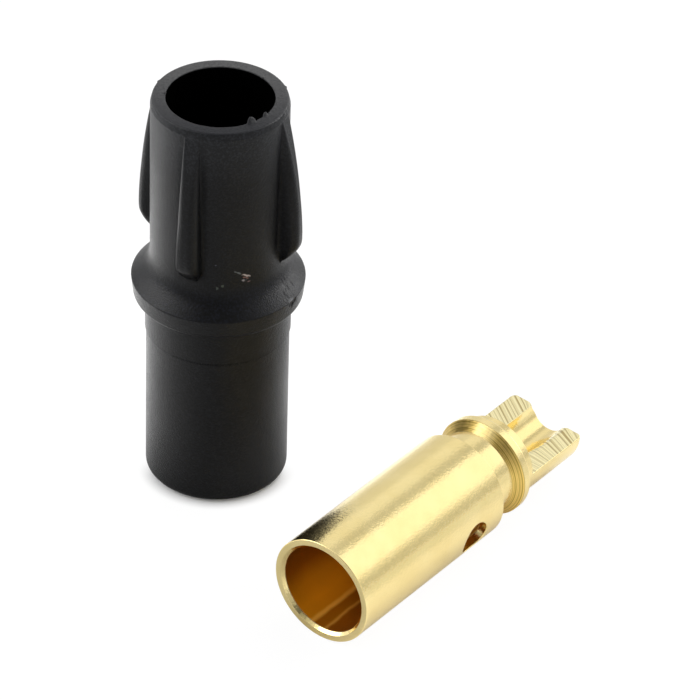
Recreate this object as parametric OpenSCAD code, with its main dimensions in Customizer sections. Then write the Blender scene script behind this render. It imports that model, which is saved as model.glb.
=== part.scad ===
// Shrouded banana plug: a moulded insulating shroud standing on its lower end, and beside it
// the turned socket contact that fits into it. Millimetres, +Z up. The origin is the centre
// of the shroud's lower opening.

/* [Contact: socket tube] */
// Outside diameter of the socket tube
contact_d = 4.8; // [4.5:0.05:5.6]
// Bore of the socket, the diameter of the plug pin that it takes
socket_d = 4.0; // [3:0.05:4.1]
// Length of the socket tube, from its mouth to its shoulder
tube_len = 9.36; // [8.6:0.02:11]
// Thickness of the metal that closes the bore at the shoulder
floor_t = 0.75; // [0.3:0.05:0.9]
// Width of the bevel inside the mouth
mouth_bevel = 0.2; // [0.05:0.01:0.25]
// Rounding of the tube's outer edges
tube_edge_r = 0.06; // [0.02:0.01:0.1]
// Diameter of the drain hole through the tube's wall
drain_d = 1.52; // [0.8:0.02:1.6]
// Distance of the drain hole from the mouth
drain_pos = 7.51; // [4:0.01:7.6]
// How far round from the solder flats' plane the drain hole lies
drain_angle = 9.6; // [0:0.1:90]

/* [Contact: neck, collar and solder tail] */
// Diameter of the neck that the shroud's rib snaps into
neck_d = 3.75; // [2.8:0.05:3.8]
// Length of the neck
neck_len = 1.25; // [1:0.05:2]
// How much smaller in radius the collar is than the socket tube
collar_step = 0.13; // [0.1:0.01:0.2]
// Length of the collar, from the neck to its back face
collar_len = 0.83; // [0.6:0.01:1]
// Length of the cone at the front of the collar
collar_lead = 0.4; // [0.1:0.02:0.46]
// Rounding of the collar's edges
collar_edge_r = 0.1; // [0.02:0.01:0.12]
// Diameter of the shank and the solder tail
shank_d = 3.9; // [3.85:0.05:4.15]
// Length of full round shank behind the collar
shank_len = 0.57; // [0.2:0.01:1.2]
// Length of the half-round solder tail
tail_len = 3.88; // [2.5:0.02:6]
// Height of the two solder flats above the contact's axis
flat_rise = 0.09; // [0:0.01:0.4]
// Diameter of the channel that the wire lies in
channel_d = 1.72; // [1:0.02:2.4]
// Rounding of the tail's end edge
tail_edge_r = 0.25; // [0.05:0.01:0.4]

/* [Contact: where it lies] */
// Place of the mouth's centre, to the right of the shroud's axis
lie_x = 4.76; // [4.5:0.01:20]
// Place of the mouth's centre, in front of the shroud's axis
lie_y = 11.86; // [11:0.01:25]
// Turn of the contact on the ground, from straight across
lie_turn = 52.8; // [0:0.1:60]
// Roll of the contact about its own axis
lie_roll = 3.5; // [-20:0.1:20]

/* [Shroud: body] */
// Wall thickness of the tubes
wall = 0.6; // [0.4:0.005:1]
// Height of the plain lower body, up to the step
body_h = 7.3; // [5:0.05:8]
// Rounding of the bottom edge
base_edge_r = 0.12; // [0.04:0.01:0.3]
// How far the band above the step stands proud of the lower body
band_proud = 0.05; // [0.02:0.01:0.3]
// Height of the band, from the step to the flange
band_h = 1.72; // [1:0.02:2.5]
// How far the flange stands proud of the lower body
flange_proud = 0.64; // [0.4:0.005:1.5]
// Height of the flange's side
flange_h = 0.88; // [0.4:0.02:1.6]
// How far the flange's side draws in towards its underside
flange_draw = 0.1; // [0:0.02:0.3]
// Rounding of the flange's upper edge
flange_edge_r = 0.07; // [0.02:0.01:0.12]
// Rounding of the flange's lower edge
flange_under_r = 0.2; // [0.02:0.01:0.3]
// Slope of the flange's upper face
cone_angle = 45; // [30:1:55]
// Fillet between the flange's upper face and the tube
cone_fillet_r = 1.2; // [0.2:0.05:1.4]
// Height of the finned tube above the flange's upper edge
grip_h = 8.85; // [7.5:0.05:14]
// Width of the bevel round the rim
rim_bevel_w = 0.075; // [0.02:0.005:0.25]
// Height of the bevel round the rim
rim_bevel_h = 0.3; // [0.05:0.01:0.5]

/* [Shroud: fins] */
// Number of fins
fin_count = 4; // [2:1:8]
// Direction of the first fin, counted from +X
fin_angle = 68; // [0:1:90]
// How far the fins stand proud of the tube
fin_proud = 0.825; // [0.3:0.005:1.5]
// Thickness of a fin at its foot
fin_foot_t = 0.62; // [0.5:0.01:1]
// Thickness of a fin at its top
fin_top_t = 0.52; // [0.4:0.01:1]
// Rounding of the fins' crest edges
fin_edge_r = 0.14; // [0.04:0.01:0.18]
// Height of the fins' outer foot corner above the flange's upper edge
fin_foot_h = 2.25; // [1.8:0.05:4]
// Slope of the cut at the foot of a fin
fin_cut_angle = 43; // [20:1:55]

/* [Shroud: fit on the contact] */
// Gap between the socket tube and the lower bore, on the radius
contact_gap = 0.05; // [0.02:0.01:0.15]
// Gap between the collar and the upper bore, on the radius
collar_gap = 0.03; // [0.02:0.01:0.1]
// Gap between the shank and the snap rib, on the radius
shank_gap = 0.15; // [0.05:0.01:0.16]
// Gap at each end of the snap rib, along the axis
rib_gap = 0.1; // [0.05:0.01:0.3]
// Depth of the contact's mouth inside the lower opening
contact_inset = 0.4; // [0:0.05:1]

/* [Hidden] */
$fn = 96;
over = 1;
disc_share = 1.002;

// Contact: radii, and places along its axis from the mouth
contact_r = contact_d / 2;
socket_r = socket_d / 2;
neck_r = neck_d / 2;
shank_r = shank_d / 2;
collar_r = contact_r - collar_step;
bore_end = tube_len - floor_t;
collar_start = tube_len + neck_len;
collar_end = collar_start + collar_len;
tail_start = collar_end + shank_len;
contact_len = tail_start + tail_len;

// Shroud: radii
bore_r = contact_r + contact_gap;
body_r = bore_r + wall;
band_r = body_r + band_proud;
flange_r = body_r + flange_proud;
wire_r = collar_r + collar_gap;
tube_r = wire_r + wall;
rib_r = shank_r + shank_gap;
fin_r = tube_r + fin_proud;

// Shroud: heights
flange_low_z = body_h + band_h;
flange_top_z = flange_low_z + flange_h;
shroud_h = flange_top_z + grip_h;
cone_top_z = flange_top_z + (flange_r - tube_r) * tan(cone_angle);
bevel_z = shroud_h - rim_bevel_h;
rib_low_z = contact_inset + tube_len + rib_gap;
rib_top_z = contact_inset + collar_start - rib_gap;
rib_lead_z = rib_low_z + bore_r - rib_r;
fin_foot_z = flange_top_z + fin_foot_h;

// Fins: the crest is an arc that runs upright at the foot and meets the tube under the bevel
fin_len = bevel_z - fin_foot_z;
crest_r = (fin_len * fin_len + fin_proud * fin_proud) / (2 * fin_proud);
fin_root_r = tube_r - wall / 2;
fin_cut_drop = tan(fin_cut_angle);
fin_low_z = fin_foot_z - (fin_r - fin_root_r) * fin_cut_drop;
fin_low_t = fin_foot_t + (fin_foot_t - fin_top_t) * (fin_foot_z - fin_low_z) / fin_len;

function unit(v) = v / norm(v);

// A closed outline, counter-clockwise, of [x, y, rounding] corners. An outward corner is
// filled out by a disc, and an inward one is scooped by a disc. Each disc is a trace larger
// than its rounding, so that it crosses both sides of its corner and doesn't only touch them.
module soft_outline(corners) {
    n = len(corners);
    at = [for (c = corners) [c[0], c[1]]];
    back = [for (i = [0 : n - 1]) unit(at[(i + n - 1) % n] - at[i])];
    ahead = [for (i = [0 : n - 1]) unit(at[(i + 1) % n] - at[i])];
    half = [for (i = [0 : n - 1]) acos(back[i] * ahead[i]) / 2];
    outward = [for (i = [0 : n - 1]) cross(back[i], ahead[i]) < 0];
    reach = [for (i = [0 : n - 1]) corners[i][2] / tan(half[i])];
    centre = [
        for (i = [0 : n - 1])
            at[i] + unit(back[i] + ahead[i]) * corners[i][2] / sin(half[i])
    ];
    chamfered = [
        for (i = [0 : n - 1])
            each corners[i][2] > 0
                ? [at[i] + back[i] * reach[i], at[i] + ahead[i] * reach[i]]
                : [at[i]]
    ];
    difference() {
        union() {
            polygon(chamfered);
            for (i = [0 : n - 1])
                if (corners[i][2] > 0 && outward[i])
                    translate(centre[i]) circle(corners[i][2] * disc_share);
        }
        for (i = [0 : n - 1])
            if (corners[i][2] > 0 && !outward[i])
                translate(centre[i]) circle(corners[i][2] * disc_share);
    }
}

// The wall of the shroud in section: outside from the base up, then the bore down
module shroud_section() {
    soft_outline([
        [bore_r, 0, 0],
        [body_r, 0, base_edge_r],
        [body_r, body_h, 0],
        [band_r, body_h, 0],
        [band_r, flange_low_z, 0],
        [flange_r - flange_draw, flange_low_z, flange_under_r],
        [flange_r, flange_top_z, flange_edge_r],
        [tube_r, cone_top_z, cone_fillet_r],
        [tube_r, bevel_z, 0],
        [tube_r - rim_bevel_w, shroud_h, 0],
        [wire_r, shroud_h, 0],
        [wire_r, rib_top_z, 0],
        [rib_r, rib_top_z, 0],
        [rib_r, rib_lead_z, 0],
        [bore_r, rib_low_z, 0]
    ]);
}

// The crest of a fin: a disc across the fin, with both edges of its rim rounded
module fin_crest() {
    half_t = fin_foot_t / 2;
    translate([fin_r - crest_r, 0, fin_foot_z])
        rotate([-90, 0, 0])
            rotate_extrude()
                soft_outline([
                    [0, -half_t, 0],
                    [crest_r, -half_t, fin_edge_r],
                    [crest_r, half_t, fin_edge_r],
                    [0, half_t, 0]
                ]);
}

// A fin that points along +X, rooted in the tube's wall, cut off at a slope at its foot
// and thinning towards its top
module fin() {
    intersection() {
        fin_crest();
        rotate([90, 0, 0])
            linear_extrude(2 * fin_foot_t, center = true)
                polygon([
                    [fin_root_r, fin_low_z],
                    [fin_r + over, fin_foot_z + over * fin_cut_drop],
                    [fin_r + over, bevel_z],
                    [fin_root_r, bevel_z]
                ]);
        translate([fin_root_r - over, 0, 0])
            rotate([90, 0, 90])
                linear_extrude(fin_r - fin_root_r + 2 * over)
                    polygon([
                        [fin_low_t / 2, fin_low_z],
                        [fin_top_t / 2, bevel_z],
                        [-fin_top_t / 2, bevel_z],
                        [-fin_low_t / 2, fin_low_z]
                    ]);
    }
}

// The contact's metal in section, from the axis out, with the mouth at height 0
module contact_section() {
    soft_outline([
        [socket_r + mouth_bevel, 0, 0],
        [contact_r, 0, tube_edge_r],
        [contact_r, tube_len, tube_edge_r],
        [neck_r, tube_len, 0],
        [neck_r, collar_start, 0],
        [collar_r, collar_start + collar_lead, collar_edge_r],
        [collar_r, collar_end, collar_edge_r],
        [shank_r, collar_end, 0],
        [shank_r, contact_len, tail_edge_r],
        [0, contact_len, 0],
        [0, bore_end, 0],
        [socket_r, bore_end, 0],
        [socket_r, mouth_bevel, 0]
    ]);
}

// The drain hole through one wall of the tube
module drain_hole() {
    translate([0, 0, drain_pos])
        rotate([0, 0, 180 + drain_angle])
            rotate([0, 90, 0])
                cylinder(d = drain_d, h = contact_r + over);
}

// What is milled from the tail: all above the flats, and the wire channel
module tail_cut() {
    translate([-shank_d, flat_rise, tail_start])
        cube([2 * shank_d, shank_d, tail_len + over]);
    translate([0, flat_rise, tail_start])
        cylinder(d = channel_d, h = tail_len + over);
}

module shroud() {
    color("#1d1d20")
        union() {
            rotate_extrude() shroud_section();
            for (i = [0 : fin_count - 1])
                rotate([0, 0, fin_angle + i * 360 / fin_count]) fin();
        }
}

module socket_contact() {
    color("#d8b65a")
        translate([lie_x, -lie_y, contact_r])
            rotate([0, 0, lie_turn])
                rotate([lie_roll, 0, 0])
                    rotate([90, 0, 90])
                        difference() {
                            rotate_extrude() contact_section();
                            drain_hole();
                            tail_cut();
                        }
}

shroud();
socket_contact();
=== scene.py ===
import math
from types import SimpleNamespace

import bmesh
import bpy
import numpy as np
from mathutils import Matrix, Vector


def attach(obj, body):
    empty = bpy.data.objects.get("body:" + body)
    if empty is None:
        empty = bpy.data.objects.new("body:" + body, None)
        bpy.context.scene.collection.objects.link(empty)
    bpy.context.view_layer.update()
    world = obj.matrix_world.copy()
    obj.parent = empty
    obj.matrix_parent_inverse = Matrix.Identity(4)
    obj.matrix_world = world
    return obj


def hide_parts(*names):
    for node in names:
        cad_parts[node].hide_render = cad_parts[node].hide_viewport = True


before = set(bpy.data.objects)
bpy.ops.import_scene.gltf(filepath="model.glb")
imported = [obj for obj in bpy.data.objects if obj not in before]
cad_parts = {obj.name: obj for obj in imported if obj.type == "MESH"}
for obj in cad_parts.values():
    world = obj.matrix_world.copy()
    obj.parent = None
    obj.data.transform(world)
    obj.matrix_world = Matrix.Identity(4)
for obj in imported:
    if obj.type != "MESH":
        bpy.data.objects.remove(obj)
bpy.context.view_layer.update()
scene = bpy.context.scene
mm = 0.001
print("frame loaded:", sorted(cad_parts))


# Helpers for curves and grids; all lengths in millimetres until a mesh is made.

def smoothStep(low, high, value):
    # 0 below low, 1 above high, 3t^2 - 2t^3 between them
    t = np.clip((value - low) / (high - low), 0, 1)
    return t * t * (3 - 2 * t)


def band(value, low, lowFull, highFull, high):
    # 1 from lowFull to highFull, easing to 0 at low and at high
    return smoothStep(low, lowFull, value) * (1 - smoothStep(highFull, high, value))


def softMin(a, b, width):
    # the smaller of a and b, with the corner where they cross rounded over a width
    return 0.5 * (a + b - np.sqrt((a - b) ** 2 + width * width))


def turnFrom(angle, turn):
    # degrees from an angle to a turn, between -180 and 180
    return (turn - angle + 180) % 360 - 180


def straightRun(start, end, step, support):
    # points strictly between two ends, evenly spaced, with one more close to either end
    length = math.dist(start, end)
    count = max(2, int(math.ceil(length / step)))
    share = np.linspace(0, 1, count + 1)[1:-1]
    if length > 4 * support:
        share = np.concatenate(([support / length], share, [1 - support / length]))
        share = np.unique(np.round(np.clip(share, support / length, 1 - support / length), 9))
    return np.outer(1 - share, start) + np.outer(share, end)


def roundedLoop(corners, arcSteps, support, closed=True):
    # a path through the corners (x, y, rounding, step of the run after it): straight runs joined
    # by arcs that touch both sides; centre = corner + bisector * rounding / sin(half angle)
    corner = np.array([c[:2] for c in corners], float)
    before = np.roll(corner, 1, 0) - corner
    after = np.roll(corner, -1, 0) - corner
    before /= np.linalg.norm(before, axis=1, keepdims=True)
    after /= np.linalg.norm(after, axis=1, keepdims=True)
    arcs = []
    for i, (_, _, rounding, _) in enumerate(corners):
        atEnd = not closed and i in (0, len(corners) - 1)
        if rounding == 0 or atEnd:
            arcs.append(corner[i][None])
            continue
        half = 0.5 * math.acos(float(np.clip(before[i] @ after[i], -1, 1)))
        middle = before[i] + after[i]
        centre = corner[i] + middle / np.linalg.norm(middle) * rounding / math.sin(half)
        reach = rounding / math.tan(half)
        ends = np.stack([corner[i] + before[i] * reach, corner[i] + after[i] * reach]) - centre
        angles = np.unwrap(np.arctan2(ends[:, 1], ends[:, 0]))
        turn = np.linspace(angles[0], angles[1], arcSteps + 1)
        arcs.append(centre + rounding * np.stack([np.cos(turn), np.sin(turn)], 1))
    path = []
    for i, arc in enumerate(arcs):
        path.append(arc)
        if closed or i < len(arcs) - 1:
            following = arcs[(i + 1) % len(arcs)]
            path.append(straightRun(arc[-1], following[0], corners[i][3], support))
    return np.concatenate(path)


def gridFaces(rows, columns, wrapRows, wrapColumns, start=0):
    # quads between neighbouring points of a grid that is stored row by row
    r = np.arange(rows if wrapRows else rows - 1)[:, None]
    c = np.arange(columns if wrapColumns else columns - 1)[None, :]
    nextRow = (r + 1) % rows
    nextColumn = (c + 1) % columns
    quads = np.stack([r * columns + c, r * columns + nextColumn,
                      nextRow * columns + nextColumn, nextRow * columns + c], -1)
    return quads + start


def makePiece(name, points, faces, marks):
    # a closed mesh from points in millimetres: doubles merged, faces turned outwards, smooth;
    # marks are values of its points that the material reads
    used, packed = np.unique(faces, return_inverse=True)
    points = points[used] * mm
    faces = packed.reshape(-1, 4)
    mesh = bpy.data.meshes.new(name)
    mesh.vertices.add(len(points))
    mesh.vertices.foreach_set("co", points.astype(np.float32).ravel())
    mesh.loops.add(faces.size)
    mesh.loops.foreach_set("vertex_index", faces.astype(np.int32).ravel())
    mesh.polygons.add(len(faces))
    mesh.polygons.foreach_set("loop_start", np.arange(0, faces.size, 4, dtype=np.int32))
    mesh.update(calc_edges=True)
    for mark, values in marks.items():
        layer = mesh.attributes.new(mark, "FLOAT", "POINT")
        layer.data.foreach_set("value", values[used].astype(np.float32))
    mergeWithin = 1e-7
    work = bmesh.new()
    work.from_mesh(mesh)
    bmesh.ops.remove_doubles(work, verts=work.verts, dist=mergeWithin)
    bmesh.ops.recalc_face_normals(work, faces=work.faces)
    openEdges = sum(not e.is_manifold for e in work.edges)
    triangles = sum(len(f.verts) - 2 for f in work.faces)
    work.to_mesh(mesh)
    work.free()
    mesh.polygons.foreach_set("use_smooth", np.ones(len(mesh.polygons), bool))
    mesh.update()
    piece = bpy.data.objects.new(name, mesh)
    scene.collection.objects.link(piece)
    print(name, "triangles", triangles, "open edges", openEdges)
    return piece


# The shroud: a wall profile carried round the axis, with fins, nibs and dents in its radius.

shroudSettings = dict(
    # distances from the axis
    bore=2.45, body=3.05, band=3.10, flangeLow=3.59, flangeTop=3.69,
    tube=2.90, rimOuter=2.825, wireBore=2.27, rib=2.10,
    # heights
    bandZ=7.3, flangeZ=9.02, coneZ=9.9, tubeZ=10.69, bevelZ=18.45, topZ=18.75,
    ribLowZ=9.86, ribLeadZ=10.21, ribTopZ=10.91,
    # roundings, the steps in each, and how close to them the nearest rows stand
    edge=0.05, baseEdge=0.32, stepRoot=0.02, stepEdge=0.03, flangeRoot=0.06,
    flangeUnder=0.2, flangeEdge=0.07, coneFillet=1.2, rimEdge=0.11, boreEdge=0.04,
    ribRoot=0.03, arcSteps=7, support=0.025,
    # fins: middle planes (degrees), crest and its arch, sloped foot, half widths, roundings
    finAngles=(69.0, 155.7, -111.2, -20.0), finReach=20.0, finCrest=3.705, finArc=24.467,
    finFootZ=12.15, finSlope=0.9325, footRound=0.2, footLowZ=11.34, footReach=0.9,
    footHalf=0.08, finFootHalf=0.5, finTopHalf=0.33, finEdge=0.38, finRoot=0.18,
    # the largest shares of a fin's height, or half width, that its roundings take
    edgeShare=0.55, edgeWidthShare=0.9, rootShare=0.43,
    # columns: spacing within so many degrees of a fin's middle plane, on the open wall, at marks
    finColumns=[(3.4, 1.2), (7.2, 0.6), (9.6, 0.27), (16.5, 1.0)],
    openColumns=4.5, markColumns=0.6,
    # painted shade at the fins' roots: degrees off the middle plane, heights
    creaseOff=(7.0, 8.8, 9.3, 15.0), creaseZ=(11.2, 11.9, 16.2, 18.3),
    # painted shade along the front fin's left edge, which takes out its highlight: angle, full within, gone
    # beyond (degrees), strength; heights
    rubbed=(-117.8, 1.8, 4.2, 1.7), rubbedZ=(11.3, 11.6, 13.2, 15.4),
    # flash left at the wire opening: angle, half width in degrees, height, lean inwards
    nibs=[(-54.4, 5.4, 0.27, 0.06), (-34.5, 3.6, 0.15, 0.04), (176.0, 2.2, 0.06, 0.02),
             (42.0, 1.6, 0.05, 0.02)],
    # where the nibs rise: below the top, and out from the opening; power of their outline
    nibBelow=(0.16, 0.03), nibOut=(0.06, 0.15), nibPower=2.2,
    # unevenness of the opening's edge, and the degrees between which it is full
    ragged=0.02, raggedTurn=(-75, -50, -20, 0),
    # burrs on the rim's outer edge: angle, half width in degrees, size; below the top, inwards
    burrs=[(157.0, 2.4, 0.05), (20.0, 2.0, 0.045), (-21.0, 2.4, 0.04)],
    burrBelow=(0.2, 0.05), burrIn=0.08,
    # dents and chips: angle, height, half sizes (degrees, mm), depth
    dents=[(-30.5, 9.78, 5.5, 0.16, 0.05), (-66.0, 11.6, 5.0, 0.20, 0.012),
              (-27.0, 10.42, 4.0, 0.22, 0.03), (-31.0, 10.2, 3.0, 0.14, -0.02),
              (-20.5, 10.3, 1.6, 0.16, 0.03)],
)


def shroudProfile(s):
    # corners of the wall: distance from the axis, height, rounding, spacing of the rows after it
    edge = s.edge
    corners = [
        (s.bore, 0, edge, 0.3), (s.body, 0, s.baseEdge, 0.5),
        (s.body, s.bandZ, s.stepRoot, 0.1), (s.band, s.bandZ, s.stepEdge, 0.4),
        (s.band, s.flangeZ, s.flangeRoot, 0.2),
        (s.flangeLow, s.flangeZ, s.flangeUnder, 0.09),
        (s.flangeTop, s.coneZ, s.flangeEdge, 0.06),
        (s.tube, s.tubeZ, s.coneFillet, 0.095),
        (s.tube, s.bevelZ, edge, 0.1), (s.rimOuter, s.topZ, s.rimEdge, 0.05),
        (s.wireBore, s.topZ, s.boreEdge, 0.6), (s.wireBore, s.ribTopZ, s.ribRoot, 0.1),
        (s.rib, s.ribTopZ, edge, 0.3), (s.rib, s.ribLeadZ, edge, 0.2),
        (s.bore, s.ribLowZ, edge, 1.0)]
    return roundedLoop(corners, s.arcSteps, s.support)


def finOff(s, turn):
    # angle in degrees to the middle plane of the nearest fin
    return np.min([np.abs(turnFrom(angle, turn)) for angle in s.finAngles], axis=0)


def shroudAngles(s):
    # column angles: the number of columns per degree is summed and read back at whole numbers,
    # so they crowd at the fins' edges and flanks, at the nibs and at the dents
    step = 0.01
    fine = np.arange(-180, 180, step)
    off = finOff(s, fine)
    density = np.full(fine.shape, 1 / s.openColumns)
    for reach, spacing in reversed(s.finColumns):
        density[off < reach] = 1 / spacing
    marked = [mark[:2] for mark in s.nibs + s.burrs] + [(dent[0], dent[2]) for dent in s.dents]
    for angle, half in marked:
        near = np.abs(turnFrom(angle, fine)) < half + s.markColumns
        density[near] = np.maximum(density[near], 1 / s.markColumns)
    total = np.concatenate(([0], np.cumsum(density) * step))
    count = int(round(total[-1]))
    places = np.arange(count) * total[-1] / count
    return np.radians(np.interp(places, total, np.concatenate((fine, [180]))))


def finRadius(s, off, z, wall):
    # distance from the axis to a fin's outline at an angle off its middle plane: a flat crest at
    # c, corner arcs, plain flanks at half width w and root fillets on the tube's wall
    arc = s.finCrest - s.finArc + np.sqrt(s.finArc ** 2 - (z - s.finFootZ) ** 2)
    foot = s.finCrest + (z - s.finFootZ) / s.finSlope
    c = softMin(np.where(z > s.finFootZ, arc, s.finCrest), foot, s.footRound)
    along = (z - s.finFootZ) / (s.bevelZ - s.finFootZ)
    w = s.finFootHalf + (s.finTopHalf - s.finFootHalf) * along
    # the foot is rounded in plan too: the half width closes in on a quarter ellipse
    above = np.clip((z - s.footLowZ) / s.footReach, 0, 1)
    w = np.maximum(w * np.sqrt(1 - (1 - above) ** 2), s.footHalf)
    proud = np.maximum(c - wall, 1e-6)
    corner = np.minimum(np.minimum(s.finEdge, s.edgeShare * proud), s.edgeWidthShare * w)
    root = np.minimum(s.finRoot, s.rootShare * proud)
    cosOff = np.cos(off)
    sinOff = np.maximum(np.sin(off), 1e-9)
    # a ray from the axis meets the corner's circle at r^2 - 2br + q = 0, on its far side
    b = cosOff * (c - corner) + sinOff * (w - corner)
    q = (c - corner) ** 2 + (w - corner) ** 2 - corner ** 2
    cornerR = b + np.sqrt(np.maximum(b * b - q, 0))
    onCorner = (b * b >= q) & (cornerR * cosOff >= c - corner)
    r = np.where(onCorner, cornerR, w / sinOff)
    r = np.where(c * np.tan(off) <= w - corner, c / cosOff, r)
    # and the root's circle, which touches the flank and the wall, on its near side
    x0 = np.sqrt((wall + root) ** 2 - (w + root) ** 2)
    b = cosOff * x0 + sinOff * (w + root)
    q = x0 ** 2 + (w + root) ** 2 - root ** 2
    filletR = b - np.sqrt(np.maximum(b * b - q, 0))
    r = np.where(off >= np.arctan2(w, x0), filletR, r)
    r = np.where(off >= np.arctan2(w + root, x0), wall, r)
    return np.where(c - wall < 1e-4, wall, np.maximum(r, wall))


def finGlossShade(s, turn, off, z):
    # painted shade, as less gloss: 1 at the foot of a fin's flank, 0 on the open wall, and more along the
    # front fin's left edge low down, where it takes out the edge's highlight
    root = band(off, *s.creaseOff) * band(z, *s.creaseZ)
    angle, full, gone, strength = s.rubbed
    edge = 1 - smoothStep(full, gone, np.abs(turnFrom(angle, turn)))
    return np.maximum(root, strength * edge * band(z, *s.rubbedZ))


def buildShroud(s):
    profile = shroudProfile(s)
    angles = shroudAngles(s)
    turn = np.degrees(angles)[None, :]
    off = finOff(s, turn)
    wall = profile[:, :1]
    level = profile[:, 1:]
    r = np.repeat(wall, len(angles), 1)
    z = np.repeat(level, len(angles), 1)
    outside = wall > s.rimOuter
    # fins
    finRows = outside & (level > s.tubeZ) & (level < s.bevelZ)
    fins = finRadius(s, np.radians(np.minimum(off, s.finReach)), z, r)
    r = np.where(finRows & (off < s.finReach), fins, r)
    # painted shade at the fins' roots and along the front fin's left edge, passed to the material as a cut
    # in gloss
    glossShade = finRows * finGlossShade(s, turn, off, z)
    # flash nibs: the opening's edge lifted and leant inwards, highest in the middle
    low, full = s.nibBelow
    near, gone = s.nibOut
    lip = smoothStep(s.topZ - low, s.topZ - full, z)
    lip = lip * (1 - smoothStep(s.wireBore + near, s.wireBore + gone, r))
    for angle, half, height, lean in s.nibs:
        share = np.clip(1 - np.abs(turnFrom(angle, turn)) / half, 0, 1)
        lift = lip * (1 - (1 - share) ** s.nibPower)
        z = z + height * lift
        r = r - lean * lift
    # a slightly ragged edge round the opening, and burrs on the rim's outer edge
    uneven = np.sin(angles * 23 + 1) * np.sin(angles * 41 + 2) * (0.4 + 0.6 * band(turn, *s.raggedTurn))
    z = z + s.ragged * uneven * lip
    low, full = s.burrBelow
    atRim = smoothStep(s.topZ - low, s.topZ - full, z)
    atRim = atRim * smoothStep(s.rimOuter - s.burrIn, s.rimOuter, r)
    for angle, half, size in s.burrs:
        r = r + size * atRim * np.clip(1 - np.abs(turnFrom(angle, turn)) / half, 0, 1)
    # dents in the outside, ragged at their borders
    for angle, height, half, halfZ, depth in s.dents:
        u = turnFrom(angle, turn) / half
        v = (z - height) / halfZ
        ragged = 0.25 * np.sin(5.1 * u + 2.3 * v) + 0.2 * np.sin(3.7 * v - 6.2 * u + 1)
        r = r - depth * outside * (1 - smoothStep(0.35, 1.0, np.hypot(u, v) + ragged))
    points = np.stack([r * np.cos(angles), r * np.sin(angles), z], -1).reshape(-1, 3)
    faces = gridFaces(len(profile), len(angles), True, True).reshape(-1, 4)
    return makePiece("shroudBody", points, faces, {"glossShade": glossShade.ravel()})


# The contact: a profile carried round its own axis, whose upper half turns into the milled tail.

contactSettings = dict(
    # middle of the mouth, turn of the axis about the vertical, roll about the axis (degrees)
    mouth=(4.76, -11.86, 2.4), turn=52.8, roll=3.5,
    # radii, and places along the axis from the mouth
    tube=2.4, socket=2.0, neck=1.875, collar=2.27, shank=1.95, boreEnd=8.61,
    tubeEnd=9.36, collarStart=10.61, collarLead=0.40, collarEnd=11.44,
    tailStart=12.01, tailEnd=15.89,
    # bevel and roundings, the steps in each, and how close to them the nearest rows stand
    bevel=0.13, edge=0.03, tubeEdge=0.035, floorFillet=0.1, neckRoot=0.06,
    leadEdge=0.05, collarEdge=0.1, shankRoot=0.04, arcSteps=6, support=0.02,
    # drain hole: place, angle, radius, rounding; rows (from, to, count) and columns cut out for it
    drainPos=7.51, drainAngle=-11.2, drain=0.76, drainEdge=0.05,
    drainRows=(6.61, 8.41, 16), drainColumns=(218, 247), drainGap=0.02, drainFoot=0.03,
    # tail: height of its flats, channel radius, rounding and easing of the end, chamfers
    flat=0.09, channel=0.86, tailEdge=0.25, endEase=0.04,
    outerChamfer=0.03, innerChamfer=0.014,
    # columns all round and on each flat, and where the flat's own columns and ridges lie on it
    columns=240, flatColumns=34, flatShares=(0.045, 0.985), ridgeShares=(0.0, 0.05, 0.95, 1.0),
    # rows: step on the tail, at its rounded end, on its end face, gap before it, wall at its root
    tailStep=0.02, endRows=13, capRows=13, rootGap=0.03, rootStep=0.012, driftGap=0.1,
    rootShares=(0.0, 0.012, 0.03, 0.1, 0.25, 0.45, 0.65, 0.85, 0.97, 1.0),
    # milling ridges: pitch, height, slant of the far ones, meeting point and reach of the near ones
    pitch=0.25, ridge=0.018, farSlant=-0.68, nearFan=(5.4, 12.7), fanReach=4.0,
    ridgeGrowth=(13.0, 15.0),
    # worn inner edge of the near leg: drop, width, depth, power, and from where to where it grows
    edgeDrop=0.2, edgeWidth=0.34, edgeDepth=0.45, edgePower=1.6, edgeGrowth=(12.1, 14.6),
    # its short end: by how much, from which place, and where across the leg it starts and is full
    legShort=0.3, legFrom=14.4, legAcross=(0.55, 1.0),
    # rounded inner corner of the far leg: length, width, depth, from which place
    cornerOff=0.17, cornerWidth=0.34, cornerDepth=0.5, cornerFrom=15.2,
)


def contactProfile(s):
    # rows (radius, place along the axis) from the bore's floor out to the mouth and back to the
    # shank, with the rows beside the drain hole at the same places inside and outside
    edge = s.edge
    blockRows = np.linspace(*s.drainRows)
    within = blockRows[1:-1]

    def run(*corners):
        return roundedLoop(corners, s.arcSteps, s.support, False)

    inner = run((0.0, s.boreEnd, 0, 0.3), (s.socket, s.boreEnd, s.floorFillet, 0.05),
                (s.socket, blockRows[-1], 0, 1))
    innerWall = np.stack([np.full(len(within), s.socket), within[::-1]], 1)
    mouth = run((s.socket, blockRows[0], 0, 0.8), (s.socket, s.bevel, edge, 0.05),
                (s.socket + s.bevel, 0, edge, 0.05), (s.tube, 0, s.tubeEdge, 0.8),
                (s.tube, blockRows[0], 0, 1))
    outerWall = np.stack([np.full(len(within), s.tube), within], 1)
    rear = run((s.tube, blockRows[-1], 0, 0.4), (s.tube, s.tubeEnd, s.tubeEdge, 0.1),
               (s.neck, s.tubeEnd, s.neckRoot, 0.2), (s.neck, s.collarStart, s.leadEdge, 0.06),
               (s.collar, s.collarStart + s.collarLead, s.leadEdge, 0.1),
               (s.collar, s.collarEnd, s.collarEdge, 0.08),
               (s.shank, s.collarEnd, s.shankRoot, 0.12),
               (s.shank, s.tailStart - s.rootGap, 0, 1))
    rows = np.concatenate([inner, innerWall, mouth, outerWall, rear])
    innerStart = len(inner)
    outerStart = innerStart + len(within) + len(mouth)
    blocks = [(start - 1, start + len(within)) for start in (innerStart, outerStart)]
    return rows, blocks[0], blocks[1]


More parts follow.
